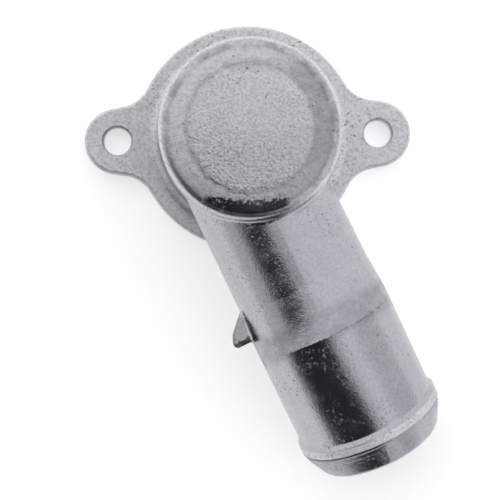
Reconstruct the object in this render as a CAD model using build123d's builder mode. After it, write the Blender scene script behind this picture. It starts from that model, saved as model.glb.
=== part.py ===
from build123d import *
from math import cos, radians, sin, tan
import os

# Coolant flange, cast as one piece: a plate with two ears, a round housing closed by a cap,
# and a hose pipe that leaves the housing's side and bends towards the plate's level.
# Millimetres. Z = 0 is the sealing face, Z up points to the cap, X runs through both bolt holes.

# Flange plate and its two ears
plate_thickness = 5.0
plate_rim = 3.0
plate_edge_bevel = 0.6
bolt_spacing = 66.0
bolt_hole_radius = 3.5
bolt_hole_bevel = 0.4
ear_radius = 8.3
ear_spread = 9.5
ear_root_radius = 9.0
ear_side_least = 1.0

# Housing and the cavity in it
housing_radius = 21.8
housing_draft = 0.7
housing_wall = 3.5
foot_radius = 3.0
cavity_corner_bevel = 2.0
mouth_bevel = 0.8

# Cap: a flat middle, a shallow ring round it and a slight slope out to a rounded rim
cap_rise = 2.9
cap_thickness = 3.5
cap_border = 7.2
cap_ring_width = 1.6
cap_ring_depth = 0.1
cap_fall = 0.3
cap_rim_radius = 2.3

# Seal groove in the sealing face
groove_land = 2.1
groove_width = 3.2
groove_depth = 2.2

# Neck: the level stretch of the pipe, set off the housing's centre
pipe_height = 23.0
pipe_turn = 24.3
neck_root_radius = 16.6
neck_wall = 3.0
neck_inset = 1.0
neck_draft = 0.5
neck_fillet_radius = 1.2
flare_length = 8.0
bend_distance = 50.0
bend_angle = 15.0

# Stub: the stretch beyond the bend, with a hose bead, a lip and a tapered tip
collar_land = 0.5
stub_radius = 17.5
bead_start = 24.4
bead_length = 3.6
bead_ramp = 1.1
bead_height = 0.8
bead_back = 0.2
lip_height = 0.4
lip_length = 1.2
tip_length = 6.3
tip_wall = 2.2
tip_edge_bevel = 0.6

# Pad that ties the pipe's underside to the plate
pad_width = 22.0

# Stop lug on the pipe's side, with a scoop along its upper face
lug_length = 7.7
lug_reach = 5.6
lug_height = 7.0
lug_shoulder_length = 4.4
lug_shoulder_reach = 4.2
lug_edge_bevel = 0.5
lug_gap = 1.2
lug_tip_radius = 1.2
lug_root_radius = 0.8
scoop_turn = 16.5
scoop_start_radius = 0.2
scoop_end_radius = 1.7

# Sizes that follow from the ones above
housing_height = pipe_height + neck_root_radius + cap_rise
housing_base_radius = housing_radius + housing_height * tan(radians(housing_draft))
cap_flat_radius = housing_radius - cap_border
cavity_radius = housing_radius - housing_wall
cavity_top = housing_height - cap_thickness
foot_top = plate_thickness + foot_radius
foot_wall_radius = housing_radius + (housing_height - foot_top) * tan(radians(housing_draft))
foot_edge = foot_wall_radius + foot_radius
plate_radius = foot_edge + plate_rim
ear_side_end = bolt_spacing / 2 * cos(radians(ear_spread)) - ear_side_least
ear_side_offset = bolt_spacing / 2 * sin(radians(ear_spread)) + ear_radius
ear_root_room = ((ear_side_end ** 2 + ear_side_offset ** 2 - plate_radius ** 2)
                 / (2 * (plate_radius - ear_side_offset)))
groove_inner_radius = cavity_radius + mouth_bevel + groove_land
bore_radius = neck_root_radius - neck_wall
pipe_offset = housing_radius - neck_root_radius - neck_inset
collar_length = stub_radius * tan(radians(bend_angle / 2)) + collar_land
flare_end = bend_distance - collar_length
flare_start = flare_end - flare_length
neck_end_radius = neck_root_radius + flare_start * tan(radians(neck_draft))
bead_end = bead_start + bead_length
lip_start = bead_end + bead_back
stub_length = bead_end + tip_length
lug_stop = flare_end - lug_gap
lug_start = lug_stop - lug_length
lug_shoulder = lug_start + lug_shoulder_length

# Directions and points of the pipe's axis
up = Vector(0, 0, 1)
neck_dir = Vector(sin(radians(pipe_turn)), -cos(radians(pipe_turn)), 0)
side_dir = Vector(cos(radians(pipe_turn)), sin(radians(pipe_turn)), 0)
stub_dir = neck_dir * cos(radians(bend_angle)) - up * sin(radians(bend_angle))
pipe_root = up * pipe_height - side_dir * pipe_offset
flare_point = pipe_root + neck_dir * flare_end
bend_point = pipe_root + neck_dir * bend_distance
bead_point = bend_point + stub_dir * bead_start
stub_end = bend_point + stub_dir * stub_length
scoop_point = (pipe_root + neck_dir * lug_start
               - side_dir * neck_end_radius * cos(radians(scoop_turn))
               + up * neck_end_radius * sin(radians(scoop_turn)))

neck_plane = Plane(origin=pipe_root, x_dir=neck_dir, z_dir=-side_dir)
stub_plane = Plane(origin=bend_point, x_dir=stub_dir, z_dir=-side_dir)
pad_plane = Plane(origin=up * plate_thickness / 2, x_dir=neck_dir, z_dir=up)
lug_plane = Plane(origin=pipe_root - up * lug_height / 2, x_dir=neck_dir, z_dir=up)
scoop_plane = Plane(origin=scoop_point, x_dir=side_dir, z_dir=neck_dir)


# Plate: a disc with an ear at each side, its upper edge bevelled.
# The ears' root rounds are held to the room on the ears' straight sides.
with BuildPart() as plate:
    with BuildSketch() as plate_outline:
        Circle(plate_radius)
        for side in (-1, 1):
            ear_x = side * bolt_spacing / 2
            touch_x = ear_x + side * ear_radius * sin(radians(ear_spread))
            touch_y = ear_radius * cos(radians(ear_spread))
            root_y = touch_y + abs(touch_x) * tan(radians(ear_spread))
            with BuildLine():
                Polyline((touch_x, touch_y), (0, root_y), (0, -root_y), (touch_x, -touch_y), close=True)
            make_face()
            with Locations((ear_x, 0)):
                Circle(ear_radius)
        corners = plate_outline.vertices().group_by(lambda v: round(abs(v.X)))[0]
        fillet(corners, radius=min(ear_root_radius, ear_root_room))
    extrude(amount=plate_thickness)
    chamfer(plate.faces().sort_by(Axis.Z)[-1].edges(), length=plate_edge_bevel)


# Stop lug: a shouldered wedge with its square face to the hose, its upper edge bevelled
with BuildPart() as lug:
    with BuildSketch(lug_plane):
        with BuildLine():
            Polyline(
                (lug_start, -bore_radius),
                (lug_start, -neck_end_radius),
                (lug_shoulder, -neck_end_radius - lug_shoulder_reach),
                (lug_stop, -neck_end_radius - lug_reach),
                (lug_stop, -bore_radius),
                close=True)
        wedge = make_face()
        fillet(wedge.vertices().sort_by(Axis.Y)[0], radius=lug_tip_radius)
    extrude(amount=lug_height)
    chamfer(lug.faces().sort_by(Axis.Z)[-1].edges(), length=lug_edge_bevel)


with BuildPart() as coolant_flange:

    # Housing: a drafted wall under the cap
    with BuildSketch(Plane.XZ):
        with BuildLine():
            rim = (housing_radius, housing_height - cap_fall)
            Polyline(
                (0, 0),
                (0, housing_height),
                (cap_flat_radius, housing_height),
                (cap_flat_radius + cap_ring_width / 2, housing_height - cap_ring_depth),
                (cap_flat_radius + cap_ring_width, housing_height),
                rim,
                (housing_base_radius, 0),
                close=True)
        housing = make_face()
        fillet(housing.vertices().sort_by_distance(rim)[0], radius=cap_rim_radius)
    revolve(axis=Axis.Z)

    # Neck: a slightly drafted pipe that flares out to the stub's size before the bend
    with BuildSketch(neck_plane):
        with BuildLine():
            Polyline(
                (0, 0),
                (0, neck_root_radius),
                (flare_start, neck_end_radius),
                (flare_end, stub_radius),
                (flare_end, 0),
                close=True)
        make_face()
    revolve(axis=Axis(pipe_root, neck_dir))
    fillet(coolant_flange.edges(Select.NEW), radius=neck_fillet_radius)

    # Stub: one round section carried through the mitred bend
    with BuildLine() as stub_path:
        Polyline(flare_point, bend_point, bead_point)
    with BuildSketch(Plane(origin=flare_point, z_dir=neck_dir)):
        Circle(stub_radius)
    sweep(path=stub_path.line, transition=Transition.RIGHT)

    # Stub end: a hose bead, a small step down to a lip, then a tip that tapers to a bevelled edge
    with BuildSketch(stub_plane):
        with BuildLine():
            Polyline(
                (bead_start, 0),
                (bead_start, stub_radius),
                (bead_start + bead_ramp, stub_radius + bead_height),
                (bead_end, stub_radius + bead_height),
                (lip_start, stub_radius + lip_height),
                (lip_start + lip_length, stub_radius + lip_height),
                (stub_length - tip_edge_bevel, bore_radius + tip_wall),
                (stub_length, bore_radius + tip_wall - tip_edge_bevel),
                (stub_length, 0),
                close=True)
        make_face()
    revolve(axis=Axis(bend_point, stub_dir))

    # Plate, and the hollow round that blends the housing's wall into it
    add(plate.part)
    with BuildSketch(Plane.XZ):
        with BuildLine():
            foot_arc = RadiusArc((foot_edge, plate_thickness), (foot_wall_radius, foot_top), foot_radius)
            Polyline(
                foot_arc @ 1,
                (cavity_radius, foot_top),
                (cavity_radius, plate_thickness / 2),
                (foot_edge, plate_thickness / 2),
                foot_arc @ 0)
        make_face()
    revolve(axis=Axis.Z)

    # Pad: fills the wedge between the pipe's underside and the plate
    with BuildSketch(pad_plane):
        Circle(plate_radius - plate_edge_bevel)
        with Locations((plate_radius, -pipe_offset)):
            Rectangle(2 * plate_radius, pad_width, mode=Mode.INTERSECT)
    extrude(amount=pipe_height - plate_thickness / 2)

    # Stop lug: joined to the pipe's side, with a small round in the corner at its stop face
    add(lug.part)
    stop_root = coolant_flange.edges(Select.NEW).sort_by(Axis(pipe_root, neck_dir))[-1]
    fillet(stop_root, radius=lug_root_radius)

    # Scoop: a hollow that widens towards the hose between the lug's upper face and the pipe
    with Locations(scoop_plane):
        Cone(
            bottom_radius=scoop_start_radius,
            top_radius=scoop_end_radius,
            height=lug_length,
            align=(Align.CENTER, Align.CENTER, Align.MIN),
            mode=Mode.SUBTRACT)

    # Cavity under the cap, open through the bevelled mouth in the sealing face
    with BuildSketch(Plane.XZ):
        with BuildLine():
            Polyline(
                (0, 0),
                (cavity_radius + mouth_bevel, 0),
                (cavity_radius, mouth_bevel),
                (cavity_radius, cavity_top),
                (0, cavity_top),
                close=True)
        cavity = make_face()
        chamfer(cavity.vertices().group_by(Axis.Y)[-1].sort_by(Axis.X)[-1], length=cavity_corner_bevel)
    revolve(axis=Axis.Z, mode=Mode.SUBTRACT)

    # Bore: from the cavity through the bend and out of the tip
    with BuildLine() as bore_path:
        Polyline(pipe_root, bend_point, stub_end)
    with BuildSketch(Plane(origin=pipe_root, z_dir=neck_dir)):
        Circle(bore_radius)
    sweep(path=bore_path.line, transition=Transition.RIGHT, mode=Mode.SUBTRACT)

    # Seal groove round the mouth
    with BuildSketch():
        Circle(groove_inner_radius + groove_width)
        Circle(groove_inner_radius, mode=Mode.SUBTRACT)
    extrude(amount=groove_depth, mode=Mode.SUBTRACT)

    # Bolt holes, bevelled at their upper rims
    with BuildSketch():
        with GridLocations(bolt_spacing, 0, 2, 1):
            Circle(bolt_hole_radius)
    extrude(amount=plate_thickness, mode=Mode.SUBTRACT)
    rims = coolant_flange.edges(Select.LAST).filter_by(GeomType.CIRCLE).group_by(Axis.Z)[-1]
    chamfer(rims, length=bolt_hole_bevel)


coolant_flange.part.label = "coolant_flange"
os.makedirs("parts", exist_ok=True)
export_step(coolant_flange.part, "parts/coolant_flange.step")
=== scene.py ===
import math

import bmesh
import bpy
from mathutils import Matrix, Vector

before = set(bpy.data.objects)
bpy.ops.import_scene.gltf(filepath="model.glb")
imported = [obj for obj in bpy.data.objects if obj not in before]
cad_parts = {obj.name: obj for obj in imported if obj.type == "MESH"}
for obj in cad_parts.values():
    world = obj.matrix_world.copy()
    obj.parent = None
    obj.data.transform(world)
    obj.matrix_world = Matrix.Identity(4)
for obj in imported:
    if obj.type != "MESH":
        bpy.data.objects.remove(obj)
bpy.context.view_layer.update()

# Flange casting: one die casting in aluminium, tumbled after casting and left bare.
# Its two ears bolt it to the engine, and a hose is pushed over its bent pipe.
# The tumbling burnished the cap and the pipe; the plate and all raised edges stayed dull.

PIPE_TURN = math.radians(24.3)
PIPE_FALL = math.radians(15.0)
PIPE_HEIGHT = 0.023
PIPE_OFFSET = 0.0042
NECK_LENGTH = 0.050
PIPE_WAY = Vector((math.sin(PIPE_TURN), -math.cos(PIPE_TURN), 0.0))
PIPE_SIDE = Vector((math.cos(PIPE_TURN), math.sin(PIPE_TURN), 0.0))
STUB_WAY = PIPE_WAY * math.cos(PIPE_FALL) - Vector((0.0, 0.0, math.sin(PIPE_FALL)))
MITRE_WAY = (PIPE_WAY + STUB_WAY).normalized()
PIPE_ROOT = Vector((0.0, 0.0, PIPE_HEIGHT)) - PIPE_SIDE * PIPE_OFFSET
BEND = PIPE_ROOT + PIPE_WAY * NECK_LENGTH

BURNISHED_LILAC = (0.50, 0.49, 0.54, 1.0)
BURNISHED_GREEN = (0.50, 0.52, 0.53, 1.0)
DULL_AND_SHEEN_SKIN = (0.80, 0.81, 0.83, 1.0)
PAINTED_HIGHLIGHT_PALE = (0.92, 0.93, 0.94, 1.0)
DARK_LILAC_GREY = (0.36, 0.355, 0.395, 1.0)
SCALE_AND_SHADE_DARK = (0.13, 0.122, 0.115, 1.0)
STOP_SHADOW_BLACK = (0.03, 0.03, 0.03, 1.0)


class Shading:
    """Nodes of one material or world, each made and joined in one call."""

    def __init__(self, tree):
        self.tree = tree

    def put(self, kind, *feeds, **settings):
        node = self.tree.nodes.new(kind)
        for key, value in settings.items():
            setattr(node, key, value)
        for socket, feed in feeds:
            self.join(node.inputs[socket], feed)
        return node

    def join(self, socket, feed):
        if isinstance(feed, bpy.types.NodeSocket):
            self.tree.links.new(feed, socket)
        else:
            socket.default_value = feed

    def math(self, operation, *feeds):
        return self.put("ShaderNodeMath", *enumerate(feeds), operation=operation).outputs[0]

    def add_times(self, feed, factor, start):
        return self.math("MULTIPLY_ADD", feed, factor, start)

    def times(self, *feeds):
        product = feeds[0]
        for feed in feeds[1:]:
            product = self.math("MULTIPLY", product, feed)
        return product

    def most(self, *feeds):
        highest = feeds[0]
        for feed in feeds[1:]:
            highest = self.math("MAXIMUM", highest, feed)
        return highest

    def vector(self, operation, *feeds):
        node = self.put("ShaderNodeVectorMath", *enumerate(feeds), operation=operation)
        return node.outputs["Value" if operation in ("DOT_PRODUCT", "LENGTH") else "Vector"]

    def reach(self, where, start, way):
        """How far a place lies from a start, measured along a way."""
        return self.vector("DOT_PRODUCT", self.vector("SUBTRACT", where, tuple(start)), tuple(way))

    def lean(self, way, amount):
        """A push that tips the surface's facing towards a way."""
        node = self.put("ShaderNodeVectorMath", ("Vector", tuple(way)), ("Scale", amount), operation="SCALE")
        return node.outputs["Vector"]

    def ramp(self, feed, low, high, low_value=0.0, high_value=1.0):
        node = self.put("ShaderNodeMapRange", ("Value", feed), ("From Min", low), ("From Max", high),
                        ("To Min", low_value), ("To Max", high_value), interpolation_type="SMOOTHSTEP")
        return node.outputs["Result"]

    def between(self, feed, low, high, soft):
        return self.times(self.ramp(feed, low - soft, low + soft), self.ramp(feed, high - soft, high + soft, 1.0, 0.0))

    def blend(self, factor, first, second):
        node = self.put("ShaderNodeMix", ("Factor", factor), ("A", first), ("B", second), data_type="RGBA")
        return node.outputs["Result"]

    def noise(self, where, scale, detail=2.0, rough=0.5, warp=0.0):
        node = self.put("ShaderNodeTexNoise", ("Vector", where), ("Scale", scale), ("Detail", detail),
                        ("Roughness", rough), ("Distortion", warp))
        return node.outputs["Fac"]

    def stretched(self, where, turn, length):
        """Places squeezed along a way, so that the grain drawn on them is that much longer."""
        node = self.put("ShaderNodeMapping", ("Vector", where), ("Rotation", (0.0, 0.0, math.radians(turn))),
                        ("Scale", (length, 1.0, 1.0)), vector_type="TEXTURE")
        return node.outputs["Vector"]


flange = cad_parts["coolant_flange"]

aluminium = bpy.data.materials.new("cast_aluminium_tumbled")
aluminium.use_nodes = True
metal = Shading(aluminium.node_tree)
shader = aluminium.node_tree.nodes["Principled BSDF"]
coords = metal.put("ShaderNodeTexCoord").outputs
place = coords["Object"]
x, y, z = metal.put("ShaderNodeSeparateXYZ", ("Vector", place)).outputs
face_up = metal.put("ShaderNodeSeparateXYZ", ("Vector", coords["Normal"])).outputs["Z"]

# Measures: from the housing's middle, and along and beside the neck and the stub
radius = metal.vector("LENGTH", metal.vector("MULTIPLY", place, (1.0, 1.0, 0.0)))
neck_along = metal.reach(place, PIPE_ROOT, PIPE_WAY)
side_off = metal.reach(place, PIPE_ROOT, PIPE_SIDE)
stub_along = metal.reach(place, BEND, STUB_WAY)
from_bend = metal.vector("SUBTRACT", place, tuple(BEND))
stub_out = metal.vector("LENGTH", metal.vector("CROSS_PRODUCT", from_bend, tuple(STUB_WAY)))

cloud = metal.noise(place, 55.0, 3.0, 0.55)
fine_cloud = metal.noise(place, 260.0, 4.0, 0.6)
ragged = metal.ramp(metal.noise(place, 1200.0, 3.0, 0.75), 0.25, 0.75, -1.0, 1.0)

# Bounds that several zones share: the cap's rim and top, the bead's outside, the pipe past the plate's foot
RIM_BASE = (0.0385, 0.0395)
CAP_BASE = (0.0398, 0.0404)
BEAD_OUTSIDE = (0.0165, 0.0170)
PAST_FOOT = (0.0300, 0.0320)
on_rim_height = metal.ramp(z, *RIM_BASE)
on_cap = metal.ramp(z, *CAP_BASE)
on_outside = metal.ramp(stub_out, *BEAD_OUTSIDE)
past_foot = metal.ramp(radius, *PAST_FOOT)

# Soft edges: the tumbling rounded them all, and the round of the cap's flat most
FLAT_ROUND = 0.0154
WIDE_ROUND = 0.0016
THIN_ROUND = 0.0004
off_round = metal.math("ABSOLUTE", metal.math("SUBTRACT", radius, FLAT_ROUND))
softness = metal.ramp(off_round, 0.0012, 0.0022, WIDE_ROUND, THIN_ROUND)
soft_edge = metal.put("ShaderNodeBevel", ("Radius", softness), samples=8).outputs["Normal"]
edge = metal.ramp(metal.vector("DOT_PRODUCT", soft_edge, coords["Normal"]), 0.93, 0.995, 1.0, 0.0)
edge = metal.times(edge, metal.ramp(z, *RIM_BASE, 1.0, 0.0), metal.ramp(stub_along, 0.020, 0.022, 1.0, 0.0))

# Facet: the slanting flat of the tool that crosses the cap's border on the pipe's side
FACET_TURN = math.radians(7.0)
FACET_SLOPE = math.radians(15.0)
FACET_WAY = Vector((-math.sin(FACET_TURN), -math.cos(FACET_TURN), 0.0))
FACET_MIDDLE = 0.0005
FACET_CHORD = 0.01715
FACET_BOW = 11.7
FACET_ENDS = (-0.0108, 0.0085)
FACET_RIM = (0.0199, 0.0204)
off_middle = metal.math("SUBTRACT", x, FACET_MIDDLE)
past_chord = metal.math("SUBTRACT", metal.times(y, -1.0), FACET_CHORD)
past_chord = metal.math("ADD", past_chord, metal.times(off_middle, off_middle, FACET_BOW))
past_chord = metal.add_times(ragged, 0.0012, past_chord)
on_facet = metal.times(metal.ramp(past_chord, -0.0004, 0.0004), metal.ramp(radius, *FACET_RIM, 1.0, 0.0),
                       metal.between(x, *FACET_ENDS, 0.0012), on_cap)
facet_lean = metal.lean(FACET_WAY * math.tan(FACET_SLOPE), on_facet)

# Dull skin: the plate and the foot, the cap's outer edge and its flat, the bead's crest; and on the pipe's flanks
# painted sheen, lighter where the surface faces sideways, standing in for the bright board they mirror
PLATE_TOP = (0.0085, 0.0105)
CAP_RIM = (0.02085, 0.0226)
CAP_SHOULDER = (0.0197, 0.0208)
FLAT_EDGE = (0.0134, 0.0166)
FLAT_BASE = (0.0410, 0.0416)
BEAD_CREST = (0.0256, 0.0275)
on_plate = metal.ramp(z, *PLATE_TOP, 1.0, 0.0)
on_rim = metal.times(metal.between(radius, *CAP_RIM, 0.0001), metal.ramp(z, 0.0240, 0.0400),
                     metal.ramp(y, -0.021, -0.012, 0.2, 0.75))
on_shoulder = metal.times(metal.between(radius, *CAP_SHOULDER, 0.0002), metal.math("SUBTRACT", 1.0, on_facet),
                          on_cap, 0.5)
# painted reflection: steep surfaces made lighter and rougher the more they face sideways
flank_sheen = metal.ramp(face_up, 0.12, 0.55, 0.45, 0.0)
on_bead = metal.times(metal.between(stub_along, *BEAD_CREST, 0.0003), on_outside, 0.8)
flat_edge = metal.add_times(metal.ramp(fine_cloud, 0.3, 0.7, -1.0, 1.0), 0.0012, radius)
on_flat = metal.times(metal.ramp(flat_edge, *FLAT_EDGE, 1.0, 0.0), metal.ramp(z, *FLAT_BASE))
flat_dull = metal.times(on_flat, metal.ramp(y, -0.012, 0.014, 0.30, 0.85))
dull_and_sheen = metal.most(on_plate, on_rim, on_shoulder, flank_sheen, on_bead, flat_dull, metal.times(edge, 0.6))
dull_and_sheen = metal.math("ADD", dull_and_sheen, metal.ramp(fine_cloud, 0.35, 0.75, -0.06, 0.14))
dull_and_sheen = metal.put("ShaderNodeClamp", ("Value", dull_and_sheen)).outputs["Result"]

# Pits with thin dark scale left in them, and the dark line of scale behind the bead's left half
BEAD_LINE = (0.0275, 0.0279)
pit_zone = metal.ramp(metal.noise(place, 120.0, 2.0), 0.40, 0.60)
pits = metal.times(metal.ramp(metal.noise(place, 1100.0, 3.0, 0.7), 0.60, 0.68), pit_zone)
bead_line = metal.times(metal.between(stub_along, *BEAD_LINE, 0.0001), on_outside,
                        metal.ramp(side_off, -0.001, 0.003, 1.0, 0.1), metal.ramp(fine_cloud, 0.30, 0.50, 0.5, 1.0))

# Strokes and dimples in the cap's flat, most of them towards the pipe
strokes = metal.noise(metal.stretched(place, -52.0, 2.2), 2100.0, 2.5, 0.6, 0.3)
strokes = metal.math("ADD", strokes, metal.noise(metal.stretched(place, 18.0, 1.8), 1700.0, 2.5, 0.6, 0.3))
worked = metal.add_times(y, -26.0, metal.times(x, -14.0))
worked = metal.math("ADD", metal.ramp(worked, -0.25, 0.40, 0.18, 1.0), metal.ramp(cloud, 0.4, 0.7, -0.1, 0.25))
worked = metal.times(worked, on_flat)
stroke_scale = metal.times(metal.ramp(strokes, 1.02, 1.22), worked, 0.45)

# Scale along the plate's edges and on the cap's border; painted shade in the crease where the wall meets the foot and
# down the steep wall; the ring round the cap's flat darkened
FOOT_LINE = (0.0072, 0.0100)
WALL_HEIGHTS = (0.0100, 0.0300)
WALL_RADII = (0.0210, 0.0226)
CAP_RING = (0.0148, 0.0158)
CAP_BORDER = (0.0190, 0.0207)
edge_scale = metal.times(edge, on_plate, metal.ramp(fine_cloud, 0.38, 0.60, 0.15, 0.75))
# painted shade: the crease where the wall meets the foot, stronger away from the pipe's side
foot_crease_shade = metal.times(metal.between(z, *FOOT_LINE, 0.0006), metal.ramp(y, -0.016, -0.004, 0.15, 0.75))
towards_pipe = metal.vector("DOT_PRODUCT", place, tuple(PIPE_WAY))
# painted shade down the steep wall, on the side away from the pipe
wall_painted_shade = metal.times(metal.between(z, *WALL_HEIGHTS, 0.0060), metal.between(radius, *WALL_RADII, 0.0002),
                         metal.ramp(towards_pipe, -0.010, 0.010, 0.45, 0.0),
                         metal.ramp(fine_cloud, 0.35, 0.65, 0.45, 1.0))
# the ring round the cap's flat is made darker
cap_ring_darkening = metal.times(metal.between(radius, *CAP_RING, 0.0006), on_cap, 0.26)
border_scale = metal.times(metal.between(radius, *CAP_BORDER, 0.0006), on_cap,
                           metal.ramp(fine_cloud, 0.40, 0.62, 0.05, 0.45))
# painted reflection: the facet darkened in colour, as the tent's dark gap it faces
facet_painted_dark = metal.times(on_facet, 0.35)

# Seam: scale in the fine line where the neck and the stub meet at the bend
past_mitre = metal.add_times(ragged, 0.0003, metal.reach(place, BEND, MITRE_WAY))
seam_scale = metal.times(metal.between(past_mitre, -0.00014, 0.00014, 0.00006),
                         metal.ramp(fine_cloud, 0.35, 0.55, 0.1, 0.6), metal.ramp(side_off, -0.004, 0.002), past_foot)

# Stop lug: painted shade on its bevels, darker the less they face up, and painted shadow at its stop face
LUG_SIDE = (-0.0180, -0.0172)
LUG_LENGTH = (0.0370, 0.0470)
STOP_EDGE = (0.0444, 0.0450)
on_lug = metal.times(metal.ramp(side_off, *LUG_SIDE, 1.0, 0.0), metal.between(neck_along, *LUG_LENGTH, 0.0005))
stop_edge = metal.add_times(ragged, 0.0005, neck_along)
# painted shadow on the lug's stop face
stop_face_shadow = metal.times(metal.ramp(stop_edge, *STOP_EDGE), metal.ramp(fine_cloud, 0.30, 0.45, 0.4, 0.95))
# painted shade: the lug's bevels darker the less they face up
lug_bevel_shade = metal.ramp(face_up, 0.80, 0.95, 0.55, 0.0)
lug_shade = metal.times(on_lug, metal.most(lug_bevel_shade, stop_face_shadow))

# Scoop above the lug: a hollow drawn in painted shade, with a painted highlight on the lip between it and the lug's
# face
SCOOP_LENGTH = (0.0388, 0.0464)
SCOOP_FLOOR = (0.0235, 0.0245)
lip_off = metal.math("SUBTRACT", side_off, metal.add_times(neck_along, -0.095, -0.01292))
scoop_edge = metal.ramp(neck_along, 0.0388, 0.0415, -0.0167, -0.0159)
beside_lug = metal.times(metal.between(neck_along, *SCOOP_LENGTH, 0.0002), metal.ramp(z, *SCOOP_FLOOR))
on_lip = metal.times(beside_lug, metal.between(lip_off, -0.0003, 0.0002, 0.0001))
scoop_side = metal.ramp(metal.math("SUBTRACT", side_off, scoop_edge), -0.0002, 0.0001, 1.0, 0.0)
# painted shade: the scoop's hollow darkened
scoop_shade = metal.times(beside_lug, metal.ramp(lip_off, 0.0001, 0.0003), scoop_side, 0.75)

# scale and painted shade together: the foot, wall, lug, scoop and facet marks are painted shade
scale_and_shade = metal.most(metal.times(pits, 0.75), bead_line, edge_scale, foot_crease_shade, wall_painted_shade, lug_shade,
                        scoop_shade, cap_ring_darkening, border_scale, stroke_scale, facet_painted_dark, seam_scale)

# Burnished skin: greenish on the cap's flat and along the pipe's left side, lilac elsewhere
left_side = metal.times(metal.ramp(side_off, -0.013, -0.002, 1.0, 0.0), metal.ramp(radius, 0.021, 0.022))
green = metal.times(metal.most(on_flat, left_side), metal.ramp(cloud, 0.30, 0.55, 0.4, 1.0))
skin = metal.blend(dull_and_sheen, metal.blend(green, BURNISHED_LILAC, BURNISHED_GREEN), DULL_AND_SHEEN_SKIN)

# Lilac-grey darkening on the cap's right border, the collar before the bend and the tip; on the foot it is painted
# shade
DARKENED_BORDER = (0.0158, 0.0200)
COLLAR = (0.0460, 0.0530)
on_border = metal.times(metal.between(radius, *DARKENED_BORDER, 0.0010), on_cap,
                        metal.ramp(x, 0.001, 0.014), metal.ramp(y, -0.013, -0.004))
on_collar = metal.times(metal.between(neck_along, *COLLAR, 0.0015), metal.ramp(radius, 0.0380, 0.0400))
# painted shade: the foot below the wall darkened
on_foot = metal.times(metal.ramp(z, 0.0052, 0.0062), on_plate)
on_tip = metal.times(metal.ramp(stub_along, 0.0275, 0.0277), metal.ramp(stub_out, 0.0140, 0.0145))
lilac_grey_darkening = metal.most(metal.times(on_border, 0.75), metal.times(on_collar, 0.95), metal.times(on_foot, 0.45),
                     metal.times(on_tip, metal.ramp(side_off, 0.005, 0.010, 0.7, 0.0)))
lilac_grey_darkening = metal.times(lilac_grey_darkening, metal.ramp(fine_cloud, 0.30, 0.60, 0.35, 1.0))
skin = metal.blend(lilac_grey_darkening, skin, DARK_LILAC_GREY)

# Painted highlights: the thin line round the cap's edge, weaker on the pipe's side, the cap's border at the upper left
# and the scoop's lip
RIM_LINE = (0.0211, 0.0217)
LIT_BORDER = (0.0152, 0.0196)
# painted highlight: the thin line round the cap's edge
edge_highlight = metal.times(metal.between(radius, *RIM_LINE, 0.0001), on_rim_height)
upper_left = metal.vector("DOT_PRODUCT", place, (-0.70, 0.71, 0.0))
# painted reflection: the cap's border brighter at the upper left; painted highlight on the scoop's lip
painted_highlights = metal.most(metal.times(metal.between(radius, *LIT_BORDER, 0.0008), on_cap,
                                metal.ramp(upper_left, -0.004, 0.012, 0.0, 0.35)),
                    metal.times(edge_highlight, metal.ramp(y, -0.021, -0.012, 0.0, 0.35)), metal.times(on_lip, 0.7))
# the painted highlights blended in as a pale colour
skin = metal.blend(painted_highlights, skin, PAINTED_HIGHLIGHT_PALE)

# Speckle all over, most of it on the dull skin, and mottling on the cap's border
MOTTLED_BORDER = (0.0150, 0.0205)
speckle = metal.ramp(metal.noise(place, 1500.0, 3.0, 0.7), 0.38, 0.72, 0.0, 0.38)
speckle = metal.times(speckle, metal.ramp(dull_and_sheen, 0.05, 0.5, 0.60, 1.0))
mottling = metal.times(metal.between(radius, *MOTTLED_BORDER, 0.0006), on_cap,
                       metal.ramp(metal.noise(place, 700.0, 4.0, 0.7), 0.42, 0.68, 0.0, 0.30))
skin = metal.blend(metal.most(speckle, mottling), skin, SCALE_AND_SHADE_DARK)

skin = metal.blend(scale_and_shade, skin, SCALE_AND_SHADE_DARK)
# painted shadow: the lug's stop face made near black
skin = metal.blend(metal.times(on_lug, stop_face_shadow, 0.7), skin, STOP_SHADOW_BLACK)
metal.join(shader.inputs["Base Color"], skin)
shader.inputs["Metallic"].default_value = 1.0
roughness = metal.add_times(dull_and_sheen, 0.28, metal.ramp(fine_cloud, 0.3, 0.75, 0.16, 0.24))
metal.join(shader.inputs["Roughness"], metal.most(roughness, metal.times(on_bead, 0.62)))

# Relief, in metres: grain, nicks and pits all over, strokes and dimples on the cap
wave = metal.noise(place, 90.0, 1.0)
fine_grain = metal.noise(place, 2600.0, 2.0, 0.6)
coarse_grain = metal.times(metal.noise(place, 800.0, 3.0, 0.65), metal.ramp(dull_and_sheen, 0.05, 0.5, 0.85, 1.0))
nicks = metal.ramp(metal.noise(metal.stretched(place, 35.0, 1.8), 2000.0, 2.0, 0.75), 0.71, 0.78)
relief = metal.times(wave, 0.00008)
for texture, rise in ((fine_grain, 0.000036), (coarse_grain, 0.000052), (pits, -0.00005), (nicks, 0.000025),
                      (metal.times(strokes, worked), 0.00013)):
    relief = metal.add_times(texture, rise, relief)

# Flare: the pipe swells like a trumpet up to the bend, and drops off behind it
swell = metal.math("ADD", metal.ramp(neck_along, 0.0430, 0.0525, 0.0, 0.16),
                   metal.ramp(neck_along, 0.0468, 0.0476, 0.0, 0.07))
swell = metal.times(swell, metal.ramp(past_mitre, -0.0001, 0.0001, 1.0, 0.0), past_foot)
flare_lean = metal.lean(-PIPE_WAY, swell)

# Tip: it is rounded from the bead on, so it falls gently over the lip and along the taper
tip_fall = metal.ramp(stub_along, 0.0293, 0.0296, 0.25, -0.24)
tip_lean = metal.lean(STUB_WAY, metal.times(on_tip, tip_fall))

# Bead: its crest is rounded, and the half that faces the bend catches the light
bead_lean = metal.lean(-STUB_WAY, metal.times(on_bead, 0.65))

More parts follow.
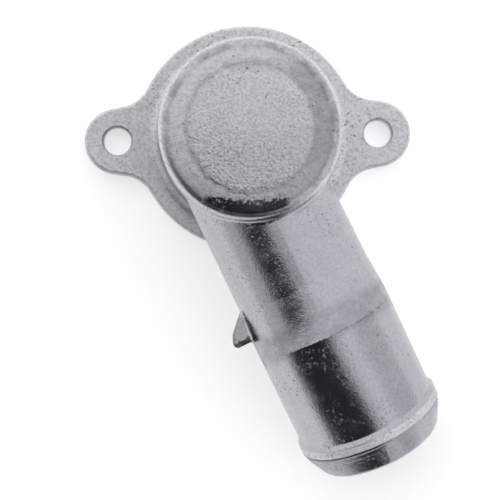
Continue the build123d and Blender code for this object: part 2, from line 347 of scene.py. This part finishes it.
# Ring: the shallow ring round the cap's flat is worn almost smooth
WORN_RING = (0.0140, 0.0168)
ring_lean = metal.lean((0.0, 0.0, 1.0), metal.times(metal.between(radius, *WORN_RING, 0.0005), on_cap, 1.3))

# Stub: a little off round, to the right towards the bead and to the left past it
off_circle = metal.math("SUBTRACT", metal.ramp(stub_along, 0.002, 0.026, 0.0, 0.06), metal.times(on_tip, 0.12))
stub_lean = metal.lean(-PIPE_SIDE, off_circle)

facing = soft_edge
for push in (facet_lean, flare_lean, tip_lean, bead_lean, ring_lean, stub_lean):
    facing = metal.vector("ADD", facing, push)
facing = metal.vector("NORMALIZE", facing)
bump = metal.put("ShaderNodeBump", ("Strength", 1.0), ("Distance", 1.0), ("Height", relief), ("Normal", facing))
metal.join(shader.inputs["Normal"], bump.outputs["Normal"])

flange.data.materials.clear()
flange.data.materials.append(aluminium)

# Board: the white table that the flange lies on, in matt laminate.
# The plate's rim and the lip at the pipe's end touch it, so it is tilted to both.

PLATE_RIM = 0.0282
LIP_REACH = 0.0742
LIP_DROP = 0.00192
BOARD_TILT = math.atan2(LIP_DROP, LIP_REACH + PLATE_RIM)
BOARD_SIZE = 3.0
BOARD_GLOW = 0.52
GLOW_IN_METAL = 0.8

sheet = bmesh.new()
bmesh.ops.create_grid(sheet, x_segments=1, y_segments=1, size=BOARD_SIZE / 2)
tilt = Matrix.Rotation(-BOARD_TILT, 3, PIPE_SIDE)
bmesh.ops.rotate(sheet, verts=sheet.verts, cent=-PIPE_WAY * PLATE_RIM, matrix=tilt)
board_mesh = bpy.data.meshes.new("board")
sheet.to_mesh(board_mesh)
sheet.free()
board = bpy.data.objects.new("board", board_mesh)
bpy.context.scene.collection.objects.link(board)

board_laminate = bpy.data.materials.new("board_laminate")
board_laminate.use_nodes = True
laminate = Shading(board_laminate.node_tree)
coat = board_laminate.node_tree.nodes["Principled BSDF"]
coat.inputs["Base Color"].default_value = (0.86, 0.86, 0.86, 1.0)
coat.inputs["Roughness"].default_value = 0.9
coat.inputs["Specular IOR Level"].default_value = 0.0
coat.inputs["Emission Color"].default_value = (1.0, 1.0, 1.0, 1.0)
rays = laminate.put("ShaderNodeLightPath").outputs
shown = laminate.add_times(rays["Is Glossy Ray"], GLOW_IN_METAL, rays["Is Camera Ray"])
laminate.join(coat.inputs["Emission Strength"], laminate.times(shown, BOARD_GLOW))
board_mesh.materials.append(board_laminate)

# Tent: white cloth hung all round the table and over it, lit from outside.
# One gap in it, along the pipe's left side, shows as the dark band in the metal.

CLOTH = (0.98, 0.985, 1.0, 1.0)
GAP = (0.030, 0.030, 0.032, 1.0)
UNLIT = (0.0, 0.0, 0.0, 1.0)

tent = bpy.data.worlds.new("tent")
bpy.context.scene.world = tent
tent.use_nodes = True
sky = Shading(tent.node_tree)
background = tent.node_tree.nodes["Background"]

# Angles from straight above, sideways and onward as seen along the pipe
way = sky.put("ShaderNodeTexCoord").outputs["Generated"]
fall = sky.math("ARCCOSINE", sky.put("ShaderNodeSeparateXYZ", ("Vector", way)).outputs["Z"])
level_way = sky.vector("MULTIPLY", way, (1.0, 1.0, 0.0))
spread = sky.math("DIVIDE", fall, sky.most(sky.vector("LENGTH", level_way), 0.001))
sideways = sky.times(sky.vector("DOT_PRODUCT", way, tuple(PIPE_SIDE)), spread)
onward = sky.times(sky.vector("DOT_PRODUCT", way, tuple(PIPE_WAY)), spread)


def hem(feed, slope, degrees):
    """A slanting edge of the cloth."""
    return sky.add_times(feed, slope, math.radians(degrees))


def fade(feed, low, high, low_value=0.0, high_value=1.0):
    """A soft change between two angles in degrees."""
    return sky.ramp(feed, math.radians(low), math.radians(high), low_value, high_value)


past_right = sky.math("SUBTRACT", hem(onward, 0.32, -14.0), sideways)
past_left = sky.math("SUBTRACT", sideways, hem(onward, -0.55, -59.5))
past_far = sky.math("SUBTRACT", hem(sideways, 0.45, 86.0), onward)
past_near = sky.math("SUBTRACT", onward, hem(sideways, 0.3, -2.0))
gap = sky.times(fade(past_right, -3.0, 3.0), fade(past_left, -9.0, 9.0), fade(past_far, -6.0, 6.0),
                fade(past_near, -3.0, 4.0))

# The cloth is brightest near the gap's end and a little to the right of straight above
level = sky.times(fade(sideways, -2.0, 26.0, 0.66, 0.98), fade(sideways, 28.0, 46.0, 1.0, 0.74))
level = sky.most(level, fade(past_near, -6.0, 0.0, 0.98, 0.0))
cloth = sky.blend(level, UNLIT, CLOTH)
sky.join(background.inputs["Color"], sky.blend(gap, cloth, GAP))
background.inputs["Strength"].default_value = 1.0

# Camera: a long lens on a copy stand, straight above the table.

SENSOR_WIDTH = 36.0
LENS_LENGTH = 144.0
CAMERA_PLACE = (-0.00975, -0.02973, 0.51174)
CAMERA_TURN = (0.1673, -1.06586, -1.7403)

lens = bpy.data.cameras.new("camera")
lens.sensor_width = SENSOR_WIDTH
lens.lens = LENS_LENGTH
camera = bpy.data.objects.new("camera", lens)
bpy.context.scene.collection.objects.link(camera)
camera.location = CAMERA_PLACE
camera.rotation_euler = [math.radians(turn) for turn in CAMERA_TURN]
bpy.context.scene.camera = camera

bpy.context.scene.view_settings.view_transform = "Standard"
